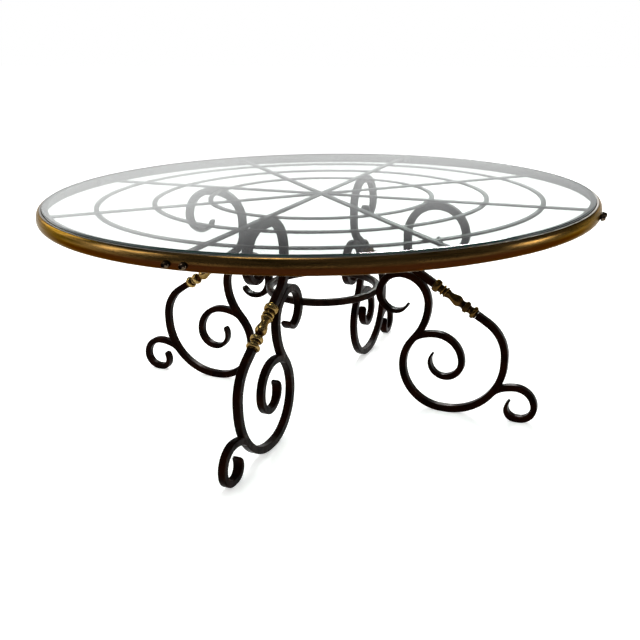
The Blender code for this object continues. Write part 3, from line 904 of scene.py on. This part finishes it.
@dataclass
class ScrollLeg:
    """One leg: main scroll with its floor loop, inner volute, foot scroll, arm and turned baluster."""

    curl_flat: float
    bar_thickness: float = 0.015
    bar_width: float = 0.015
    scroll_thickness: float = 0.0137
    scroll_width: float = 0.0146
    tip_taper: float = 0.080
    loop_flat: float = 0.008
    loop_inner: float = 0.089
    loop_outer: float = 0.119
    loop_side: float = 0.012
    shoulder: float = 0.083
    shoulder_run: float = 0.026
    s_heading: float = math.radians(52)
    s_run: float = 0.016
    s_radius: float = 0.116
    crest_outer: float = 0.060
    crest_inner: float = 0.0455
    hook: float = 0.036
    hook_tip: float = 0.028
    hook_tip_turn: float = math.radians(70)
    volute_root: float = 0.045
    volute_crown_heading: float = math.radians(20)
    volute_crown: float = 0.095
    volute_outer: float = 0.056
    volute_lower: float = 0.0365
    volute_inner: float = 0.0315
    volute_tip: float = 0.029
    volute_tip_turn: float = math.radians(38)
    volute_taper: float = 0.085
    foot_leave_heading: float = math.radians(52)
    foot_root: float = 0.050
    foot_crown_heading: float = math.radians(22)
    foot_crown: float = 0.083
    foot_lower: float = 0.029
    foot_flat: float = 0.007
    foot_inner: float = 0.021
    foot_tip: float = 0.026
    foot_tip_turn: float = math.radians(42)
    arm_run: float = 0.004
    arm_bend: float = 0.050
    curl_rise: float = 0.060
    curl_outer: float = 0.057
    curl_lower: float = 0.030
    curl_tip: float = 0.027
    curl_tip_turn: float = math.radians(85)
    curl_taper: float = 0.085
    baluster_length: float = 0.107

    def __post_init__(self) -> None:
        """Lay out the leg's paths from the stretcher ring outwards."""
        self.bar = ForgedBar(self.bar_thickness, self.bar_width)
        self.scroll = ForgedBar(self.scroll_thickness, self.scroll_width)
        floor = self.bar_thickness / 2
        to_crest = [
            Bend(self.loop_inner, self.s_heading - math.pi),
            Run(self.s_run),
            Bend(self.s_radius, QUARTER - self.s_heading),
        ]
        to_ring = [Bend(self.crest_outer, QUARTER), Bend(self.crest_inner, QUARTER)]
        to_tip = [Bend(self.hook, QUARTER), Bend(self.hook_tip, self.hook_tip_turn)]
        touch = follow(Stop(0.0, floor, math.pi), to_crest + to_ring)
        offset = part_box("stretcher_ring")[1].x + SEAT_GAP + self.bar_thickness / 2 - touch.x
        bottom = Stop(offset, floor, math.pi)
        crest_side = follow(bottom, to_crest)
        self.crest_centre = Vector((crest_side.x - self.crest_outer, crest_side.z))
        self.loop_centre = Vector((offset + self.loop_flat, floor + self.loop_outer))
        self.heading = self.axis_heading()
        self.direction = Vector((math.cos(self.heading), math.sin(self.heading)))
        up_outside = [
            Run(self.loop_flat),
            Bend(self.loop_outer, QUARTER),
            Run(self.loop_side),
            Bend(self.shoulder, self.heading - QUARTER),
            Run(self.shoulder_run),
        ]
        outwards = Stop(offset, floor, 0.0)
        self.seat = follow(outwards, up_outside)
        down_outside = [Bend(m.radius, -m.turn) if isinstance(m, Bend) else m for m in reversed(up_outside)]
        self.main_moves = down_outside + to_crest + to_ring + to_tip
        self.volute_start = follow(bottom, to_crest[:1])
        to_foot = [Run(self.loop_flat), Bend(self.loop_outer, self.foot_leave_heading)]
        self.foot_start = follow(outwards, to_foot)

    def axis_heading(self) -> float:
        """Find the baluster's axis, which rests on the shoulder and clears the crest by one bar.

        Returns:
            The axis's heading.
        """
        over_loop = Vector((self.loop_outer - self.shoulder, self.loop_side))
        span = self.crest_centre - (self.loop_centre + over_loop)
        clearance = self.crest_outer + self.bar_thickness + SEAT_GAP
        return math.atan2(span.y, span.x) - math.asin((clearance - self.shoulder) / span.length)

    def on_axis(self, distance: float) -> Vector:
        """Point on the baluster's axis, measured from the main scroll's end."""
        point = Vector((self.seat.x, self.seat.z)) + self.direction * distance
        return Vector((point.x, 0.0, point.y))

    def main_scroll(self) -> bmesh.types.BMesh:
        """Bar from the baluster's foot round the floor loop to the top scroll."""
        start = Stop(self.seat.x, self.seat.z, self.heading + math.pi)
        return self.bar.draw(start, self.main_moves, self.tip_taper)

    def inner_volute(self) -> bmesh.types.BMesh:
        """Draw the bar that leaves the floor loop along its own curve and curls inside it.

        Returns:
            The bar.
        """
        return self.scroll.draw(self.volute_start, [
            Bend(self.volute_root, self.volute_crown_heading - self.s_heading),
            Bend(self.volute_crown, -self.volute_crown_heading),
            Bend(self.volute_outer, -QUARTER),
            Bend(self.volute_lower, -QUARTER),
            Bend(self.volute_inner, -QUARTER),
            Bend(self.volute_tip, -self.volute_tip_turn),
        ], self.volute_taper)

    def foot_scroll(self) -> bmesh.types.BMesh:
        """Draw the bar that leaves the outside of the floor loop and curls under to the floor.

        Returns:
            The bar.
        """
        to_crown = [
            Bend(self.foot_root, self.foot_crown_heading - self.foot_leave_heading),
            Bend(self.foot_crown, -self.foot_crown_heading),
        ]
        crown = follow(self.foot_start, to_crown)
        foot_outer = crown.z - self.scroll_thickness / 2 - self.foot_lower
        return self.scroll.draw(self.foot_start, to_crown + [
            Bend(foot_outer, -QUARTER),
            Bend(self.foot_lower, -QUARTER),
            Run(self.foot_flat),
            Bend(self.foot_inner, -QUARTER),
            Bend(self.foot_tip, -self.foot_tip_turn),
        ], self.foot_inner + self.foot_tip * self.foot_tip_turn)

    def arm(self) -> bmesh.types.BMesh:
        """Draw the bar from the baluster over the top scroll, up to the strap and over in a curl below it.

        Returns:
            The bar.
        """
        first = self.on_axis(self.baluster_length + 2 * SEAT_GAP)
        start = Stop(first.x, first.z, self.heading)
        level = (self.crest_centre - Vector((start.x, start.z))).dot(self.direction) + self.arm_run
        moves = [Run(level), Bend(self.arm_bend, QUARTER - self.heading)]
        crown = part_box("right_arm")[1].z - self.bar_thickness / 2
        return self.bar.draw(start, moves + [
            Run(crown - self.curl_rise - follow(start, moves).z),
            Bend(self.curl_rise, -QUARTER),
            Run(self.curl_flat),
            Bend(self.curl_outer, -QUARTER),
            Bend(self.curl_lower, -QUARTER),
            Bend(self.curl_tip, -self.curl_tip_turn),
        ], self.curl_taper)

    def build(self, side: Side, iron: bpy.types.Material, brass: bpy.types.Material) -> None:
        """Forge one leg and set it on its side of the table.

        Args:
            side: Side that the leg stands on.
            iron: Finish of the bars.
            brass: Finish of the baluster.
        """
        bars = {
            "main_scroll": self.main_scroll(),
            "inner_volute": self.inner_volute(),
            "foot_scroll": self.foot_scroll(),
            "arm": self.arm(),
        }
        for part, shape in bars.items():
            node = f"{side.word}_{part}"
            set_down(shape, f"{node}_bar", [iron], node, side.turn)
        baluster = Baluster(self.baluster_length).build()
        lean = Matrix.Rotation(QUARTER - self.heading, 4, "Y")
        place = side.turn @ Matrix.Translation(self.on_axis(SEAT_GAP)) @ lean
        name = f"{side.word}_turned_baluster"
        set_down(baluster, name, [brass], f"{side.word}_baluster", place)


@dataclass
class Baluster:
    """Turned brass baluster, with its places measured up from the foot collar."""

    length: float
    bore: float = 0.0043
    socket: float = 0.0100
    foot_collar: float = 0.0135
    foot_collar_half: float = 0.0043
    foot_collar_place: float = 0.0078
    collar_base: float = 0.0088
    lower_cove: float = 0.0078
    lower_cove_place: float = 0.0166
    cup_ring: float = 0.0126
    cup_ring_place: float = 0.0262
    cup_ring_half: float = 0.0050
    cup_base: float = 0.0090
    neck: float = 0.0079
    neck_place: float = 0.0365
    belly: float = 0.0116
    belly_place: float = 0.0470
    waist: float = 0.0077
    waist_place: float = 0.0665
    cup: float = 0.0100
    twin_ring: float = 0.0118
    twin_ring_half: float = 0.0023
    twin_groove: float = 0.0084
    twin_place: float = 0.0770
    twin_pitch: float = 0.0078
    upper_cove: float = 0.0086
    top_collar: float = 0.0137
    top_collar_half: float = 0.0070
    groove_relief: float = 0.1
    fullness: float = 0.7
    steps: int = 56
    arc_steps: int = 10

    def bead(self, place: float, half: float, base: float, crown: float) -> list[ProfilePoint]:
        """Rounded bead, from its top to its bottom, a little fuller than a half-round.

        Args:
            place: Height of the bead's middle.
            half: Half of its height.
            base: Radius at its edges.
            crown: Radius at its middle.

        Returns:
            Points of the bead.
        """
        points = []
        for step in range(self.arc_steps + 1):
            angle = math.pi * step / self.arc_steps
            swell = max(0.0, math.sin(angle)) ** self.fullness
            relief = self.groove_relief + (1.0 - self.groove_relief) * swell
            points.append((base + (crown - base) * swell, place + half * math.cos(angle), relief))
        return points

    def ogees(self, *knots: ProfilePoint) -> list[ProfilePoint]:
        """Soft S-curves through a row of points.

        Args:
            knots: Radius, height and relief of each point, from the top down.

        Returns:
            Points of the curves, without the first and the last knot.
        """
        points = []
        for upper, lower in zip(knots, knots[1:]):
            for step in range(1, self.arc_steps + 1):
                share = step / self.arc_steps
                ease = (1 - math.cos(math.pi * share)) / 2
                points.append((
                    upper[0] + (lower[0] - upper[0]) * ease,
                    upper[1] + (lower[1] - upper[1]) * share,
                    upper[2] + (lower[2] - upper[2]) * ease,
                ))
        return points[:-1]

    def profile(self) -> list[ProfilePoint]:
        """Draw the bored baluster, from the top collar down, and up the bore.

        Returns:
            The closed profile.
        """
        upper_twin = self.twin_place + self.twin_pitch
        twin_top = upper_twin + self.twin_ring_half
        collar_place = self.length - self.top_collar_half
        collar_edge = collar_place - self.top_collar_half
        foot_edge = self.foot_collar_place - self.foot_collar_half
        return [
            *self.bead(collar_place, self.top_collar_half, self.collar_base, self.top_collar),
            *self.ogees(
                (self.collar_base, collar_edge, 0.1),
                (self.upper_cove, (collar_edge + twin_top) / 2, 0.3),
                (self.twin_groove, twin_top, 0.1),
            ),
            *self.bead(upper_twin, self.twin_ring_half, self.twin_groove, self.twin_ring),
            *self.bead(self.twin_place, self.twin_ring_half, self.twin_groove, self.twin_ring),
            *self.ogees(
                (self.cup, self.twin_place - self.twin_ring_half, 0.5),
                (self.waist, self.waist_place, 0.6),
                (self.belly, self.belly_place, 1.0),
                (self.neck, self.neck_place, 0.1),
                (self.cup_base, self.cup_ring_place + self.cup_ring_half, 0.2),
            ),
            *self.bead(self.cup_ring_place, self.cup_ring_half, self.cup_base, self.cup_ring),
            *self.ogees(
                (self.cup_base, self.cup_ring_place - self.cup_ring_half, 0.1),
                (self.lower_cove, self.lower_cove_place, 0.5),
                (self.collar_base, self.foot_collar_place + self.foot_collar_half, 0.1),
            ),
            *self.bead(self.foot_collar_place, self.foot_collar_half, self.collar_base, self.foot_collar),
            (self.socket, foot_edge, 0.3),
            (self.socket, 0.0, 0.3),
            (self.bore, 0.0, 0.0),
            (self.bore, self.length, 0.0),
        ]

    def build(self) -> bmesh.types.BMesh:
        """Turn the baluster upright at the origin."""
        return turned(self.profile(), self.steps)


@dataclass
class RimFixings:
    """Cleats at the strap ends, and the domed bolts and hexagon nuts that hold them to the rim."""

    bolt_radius: float = 0.0025
    head_radius: float = 0.0062
    head_base: float = 0.0030
    flange: float = 0.0009
    bolt_steps: int = 32
    dome_steps: int = 8
    recess: float = 0.0032
    recess_depth: float = 0.0022
    recess_draft: float = 0.85
    nut_radius: float = 0.0046
    nut_bore: float = 0.0033
    nut_chamfer: float = 0.0005
    nut_relief: float = 0.6
    nut_sides: int = 6
    cleat_edge: float = 0.0008

    def bolt(self) -> bmesh.types.BMesh:
        """Turn a domed bolt with a recessed head, upright, at its distance from the table's axis.

        Returns:
            The bolt.
        """
        low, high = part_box("bolt_right_1")
        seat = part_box("brass_rim")[1].x + SEAT_GAP
        spring = seat + self.head_base
        waist = self.head_radius - self.flange
        brink = math.acos(self.recess / waist)
        dome = (high.x - spring) / math.sin(brink)
        sunk = high.x - self.recess_depth
        # Relief 0 in the recess and on the shank, and low on the flange, gives the bolt's finish its darkest
        # colour there.
        profile = [(0.0, sunk, 0.0), (self.recess_draft * self.recess, sunk, 0.0)]
        for step in range(self.dome_steps + 1):
            angle = brink * (1 - step / self.dome_steps)
            profile.append((waist * math.cos(angle), spring + dome * math.sin(angle), 1.0))
        profile += [
            (self.head_radius, spring - self.flange, 0.3),
            (self.head_radius, seat + self.flange / 2, 0.2),
            (self.head_radius - self.flange / 2, seat, 0.1),
            (self.bolt_radius, seat, 0.0),
            (self.bolt_radius, low.x, 0.0),
            (0.0, low.x, 0.0),
        ]
        return turned(profile, self.bolt_steps, closed=False)

    def nut(self) -> bmesh.types.BMesh:
        """Turn a hexagon nut with chamfered corners, on the bolt's axis.

        Returns:
            The nut.
        """
        low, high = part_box("nut_right_1")
        soft = self.nut_chamfer
        proud = self.nut_relief
        profile = [
            (self.nut_radius - soft, high.x, proud), (self.nut_radius, high.x - soft, proud),
            (self.nut_radius, low.x + soft, proud), (self.nut_radius - soft, low.x, proud),
            (self.nut_bore, low.x, 0.0), (self.nut_bore, high.x, 0.0),
        ]
        return turned(profile, self.nut_sides)

    def build(
        self, side: Side, brass: bpy.types.Material, steel: bpy.types.Material, iron: bpy.types.Material
    ) -> None:
        """Set one side's cleat, bolts and nuts.

        Args:
            side: Side of the table.
            brass: Finish of the bolts.
            steel: Finish of the nuts.
            iron: Finish of the cleat.
        """
        cleat = flat_bar(*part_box(f"cleat_{side.word}"), self.cleat_edge)
        set_down(cleat, f"{side.word}_cleat_plate", [iron], f"cleat_{side.word}")
        lay_down = Matrix.Rotation(QUARTER, 4, "Y")
        for number in (1, 2):
            middle = centre_of(f"bolt_right_{number}")
            place = side.turn @ Matrix.Translation((0.0, middle.y, middle.z)) @ lay_down
            fasteners = {"bolt": (self.bolt(), brass, Slot.BRASS), "nut": (self.nut(), steel, Slot.STEEL)}
            for kind, (shape, finish, slot) in fasteners.items():
                node = f"{kind}_{side.word}_{number}"
                set_down(shape, f"{side.word}_rim_{kind}_{number}", [finish], node, place)


@dataclass
class StretcherRing:
    """Square-section ring that ties the four top scrolls together."""

    thickness: float = 0.0135
    edge: float = 0.0022
    steps: int = 120

    def build(self, iron: bpy.types.Material) -> None:
        """Turn the ring.

        Args:
            iron: Finish of the ring.
        """
        low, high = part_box("stretcher_ring")
        profile = rounded_ring(high.x - self.thickness, high.x, low.z, high.z, self.edge)
        set_down(turned(profile, self.steps), "stretcher_hoop", [iron], "stretcher_ring")


@dataclass(frozen=True)
class SoftBox:
    """A square soft box that faces the table."""

    name: str
    place: tuple[float, float, float]
    size: float
    watts: float

    def hang(self, target: tuple[float, float, float]) -> None:
        """Hang the lamp in its place.

        Args:
            target: Point that it faces.
        """
        lamp = bpy.data.lights.new(self.name, "AREA")
        lamp.size = self.size
        lamp.energy = self.watts
        holder = bpy.data.objects.new(self.name, lamp)
        holder.location = self.place
        aim = Vector(target) - Vector(self.place)
        holder.rotation_euler = aim.to_track_quat("-Z", "Y").to_euler()
        bpy.context.scene.collection.objects.link(holder)


@dataclass
class Studio:
    """Pale floor, soft lamps, and the camera at the photograph's viewing angle."""

    lamps: tuple[SoftBox, ...] = (
        SoftBox("window_box", (-0.5, 2.9, 1.85), 0.9, 100.0),
        SoftBox("overhead_box", (-0.4, -0.2, 2.6), 0.6, 14.0),
        SoftBox("front_box", (-2.2, -1.6, 1.5), 1.1, 13.0),
        SoftBox("left_box", (-2.4, 0.2, 1.3), 1.0, 10.0),
        SoftBox("right_box", (2.6, 0.6, 0.95), 0.5, 5.0),
    )
    lamp_target: tuple[float, float, float] = (0.0, 0.0, 0.25)

    floor_size: float = 40.0
    floor_colour: str = "#f2f2f0"
    near_glow: float = 0.50
    far_glow: float = 0.74
    near_reach: float = 0.7
    far_reach: float = 3.0
    white: str = "#ffffff"
    room: str = "#565658"
    daylight: float = 0.40
    wall_turn: tuple[float, float] = (-0.62, -0.42)
    wall_top: tuple[float, float] = (0.19, 0.10)
    wall_fade: float = 0.16
    front_shade: tuple[float, float] = (0.1, -0.7)
    right_shade: tuple[float, float] = (0.40, 0.75)
    sensor_mm: float = 36.0
    frame_px: float = 640.0
    focal_px: float = 821.0
    shift_right_px: float = 28.0
    shift_down_px: float = 8.2
    eye: tuple[float, float, float] = (0.666, -1.564, 0.754)
    azimuth: float = math.radians(21.30)
    pitch: float = math.radians(19.47)
    roll: float = math.radians(-0.53)

    def lay_floor(self) -> None:
        """Lay the floor, which looks white and still takes the table's shadow."""
        material, tree = blank_material("pale_studio_floor")
        path = add_node(tree, "LightPath")
        seen = self.seen(tree, path)
        place = add_node(tree, "TexCoord").outputs["Object"]
        reach = add_node(tree, "VectorMath", {0: place}, operation="LENGTH").outputs["Value"]
        level = add_node(tree, "MapRange", {
            "Value": reach, "From Min": self.near_reach, "From Max": self.far_reach,
            "To Min": self.near_glow, "To Max": self.far_glow,
        }, interpolation_type="SMOOTHSTEP").outputs["Result"]
        share = add_node(tree, "Math", {0: seen, 1: level}, operation="MULTIPLY").outputs[0]
        paint = add_node(tree, "BsdfDiffuse", {"Color": linear(self.floor_colour)}).outputs["BSDF"]
        glow = add_node(tree, "Emission", {"Strength": share}).outputs["Emission"]
        lit = add_node(tree, "AddShader", {0: paint, 1: glow}).outputs["Shader"]
        add_node(tree, "OutputMaterial", {"Surface": lit})
        shape = bmesh.new()
        bmesh.ops.create_grid(shape, x_segments=1, y_segments=1, size=self.floor_size / 2)
        mesh = bpy.data.meshes.new("studio_floor")
        shape.to_mesh(mesh)
        shape.free()
        mesh.materials.append(material)
        floor = bpy.data.objects.new("studio_floor", mesh)
        bpy.context.scene.collection.objects.link(floor)

    def seen(self, tree: bpy.types.NodeTree, path: bpy.types.Node) -> bpy.types.NodeSocket:
        """Tell the rays that show the background from those that only light the object.

        Args:
            tree: Node tree to work in.
            path: Light Path node of that tree.

        Returns:
            A socket that is 1 for camera, glossy and transmission rays.
        """
        seen = path.outputs["Is Camera Ray"]
        for kind in ("Is Glossy Ray", "Is Transmission Ray"):
            seen = add_node(
                tree, "Math", {0: seen, 1: path.outputs[kind]}, operation="MAXIMUM").outputs[0]
        return seen

    def hang_sky(self) -> None:
        """Hang a white surround, grey overhead, in front and on the right for metal and glass to mirror."""
        world = bpy.data.worlds.new("studio_surround")
        bpy.context.scene.world = world
        world.use_nodes = True
        tree = world.node_tree
        tree.nodes.clear()
        path = add_node(tree, "LightPath")
        way = add_node(tree, "TexCoord").outputs["Generated"]
        axes = add_node(tree, "SeparateXYZ", {"Vector": way})
        wall_top = add_node(tree, "MapRange", {
            "Value": axes.outputs["X"], "From Min": self.wall_turn[0], "From Max": self.wall_turn[1],
            "To Min": self.wall_top[0], "To Max": self.wall_top[1],
        }, interpolation_type="SMOOTHSTEP").outputs["Result"]
        above = add_node(
            tree, "Math", {0: axes.outputs["Z"], 1: wall_top}, operation="SUBTRACT").outputs[0]
        shade = add_node(tree, "MapRange", {
            "Value": above, "From Min": 0.0, "From Max": self.wall_fade,
        }, interpolation_type="SMOOTHSTEP").outputs["Result"]
        for axis, (clear, full) in (("Y", self.front_shade), ("X", self.right_shade)):
            beside = add_node(tree, "MapRange", {
                "Value": axes.outputs[axis], "From Min": clear, "From Max": full,
            }, interpolation_type="SMOOTHSTEP").outputs["Result"]
            shade = add_node(tree, "Math", {0: shade, 1: beside}, operation="MAXIMUM").outputs[0]
        camera_ray = path.outputs["Is Camera Ray"]
        unseen = add_node(tree, "Math", {0: 1.0, 1: camera_ray}, operation="SUBTRACT").outputs[0]
        mirrored = add_node(tree, "Math", {0: shade, 1: unseen}, operation="MULTIPLY").outputs[0]
        dome = add_node(tree, "Mix", {
            MIX_FACTOR: mirrored, MIX_A: linear(self.white), MIX_B: linear(self.room),
        }, data_type="RGBA").outputs[MIX_RESULT]
        shown = add_node(tree, "Background", {"Color": dome}).outputs["Background"]
        light = add_node(tree, "Background", {
            "Color": linear(self.white), "Strength": self.daylight,
        }).outputs["Background"]
        seen = self.seen(tree, path)
        mixed = add_node(tree, "MixShader", {0: seen, 1: light, 2: shown}).outputs["Shader"]
        add_node(tree, "OutputWorld", {"Surface": mixed})

    def set_camera(self) -> None:
        """Set the camera where the photograph was taken from."""
        camera = bpy.data.cameras.new("photograph_view")
        camera.sensor_width = self.sensor_mm
        camera.lens = self.focal_px / self.frame_px * camera.sensor_width
        camera.shift_x = -self.shift_right_px / self.frame_px
        camera.shift_y = self.shift_down_px / self.frame_px
        holder = bpy.data.objects.new("photograph_view", camera)
        tilt = Matrix.Rotation(QUARTER - self.pitch, 4, "X")
        aim = Matrix.Rotation(self.azimuth, 4, "Z") @ tilt @ Matrix.Rotation(self.roll, 4, "Z")
        holder.matrix_world = Matrix.Translation(self.eye) @ aim
        bpy.context.scene.collection.objects.link(holder)
        bpy.context.scene.camera = holder

    def build(self) -> None:
        """Set up the floor, the surround, the lamps and the camera."""
        self.lay_floor()
        self.hang_sky()
        for lamp in self.lamps:
            lamp.hang(self.lamp_target)
        self.set_camera()
        bpy.context.scene.view_settings.view_transform = "Standard"


def dress_rods(steel: bpy.types.Material) -> None:
    """Give the hidden baluster rods their finish.

    Args:
        steel: Finish of the rods.
    """
    for side in Side:
        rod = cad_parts[f"{side.word}_baluster_rod"]
        rod.data.materials.clear()
        rod.data.materials.append(steel)


def main() -> None:
    """Build the table's pieces in order, then the studio round it."""
    logging.basicConfig(level=logging.INFO, format="%(name)s: %(message)s")
    iron = WroughtIron().material()
    lit_side_brass = AgedBrass().material()
    # The right and back balusters take a darker copy of the same brass: painted shade, for the side of the
    # table turned away from the light.
    shaded_side_brass = AgedBrass(
        name="tarnished_turned_brass", bright="#57401c", hollow="#1c0f05", patina="#382712", speck="#1a1008",
    ).material()
    # The rim's brass is darker than the balusters', partly tarnish and partly a painted reflection of a dark
    # room; its lower half takes the dark colour as a painted reflection of a dark floor, and its patina is
    # drawn out into bands round the rim, partly tarnish and partly painted glints.
    rim_brass = AgedBrass(
        name="oxidised_rim_brass", bright="#977440", hollow="#361a08", patina="#4b3a1b", speck="#170d05",
        patina_mm=110.0, patina_detail=5.0, flatten=24.0, speck_level=0.63, hollow_below=0.53,
        crown_above=0.76, pitting=0.12, smoothest=0.14, roughest=0.30,
    ).material()
    black_brass = AgedBrass(
        name="blackened_bolt_brass", bright="#5e5144", hollow="#0c0705", patina="#463a2e", speck="#1a120b",
        smoothest=0.12, roughest=0.22,
    ).material()
    steel = PlainSteel().material()
    # The rim's flat lip gets a near-white metal, a painted highlight along the top edge.
    lip_highlight_metal = PlainSteel(name="rubbed_rim_lip", pale="#e6e2da", dull="#b4aea4").material()
    GlassTop().build(ClearGlass().material(), GlassEdge().material())
    BrassRim().build(rim_brass, lip_highlight_metal, iron)
    GlassFrame().build(iron)
    StretcherRing().build(iron)
    fixings = RimFixings()
    for side in Side:
        # Painted shade: the right and back legs get the darker copy of the brass.
        baluster_brass = shaded_side_brass if side in (Side.RIGHT, Side.BACK) else lit_side_brass
        ScrollLeg(CURL_FLAT[side]).build(side, iron, baluster_brass)
        fixings.build(side, black_brass, steel, iron)
    dress_rods(steel)
    Studio().build()


if __name__ == "__main__":
    main()
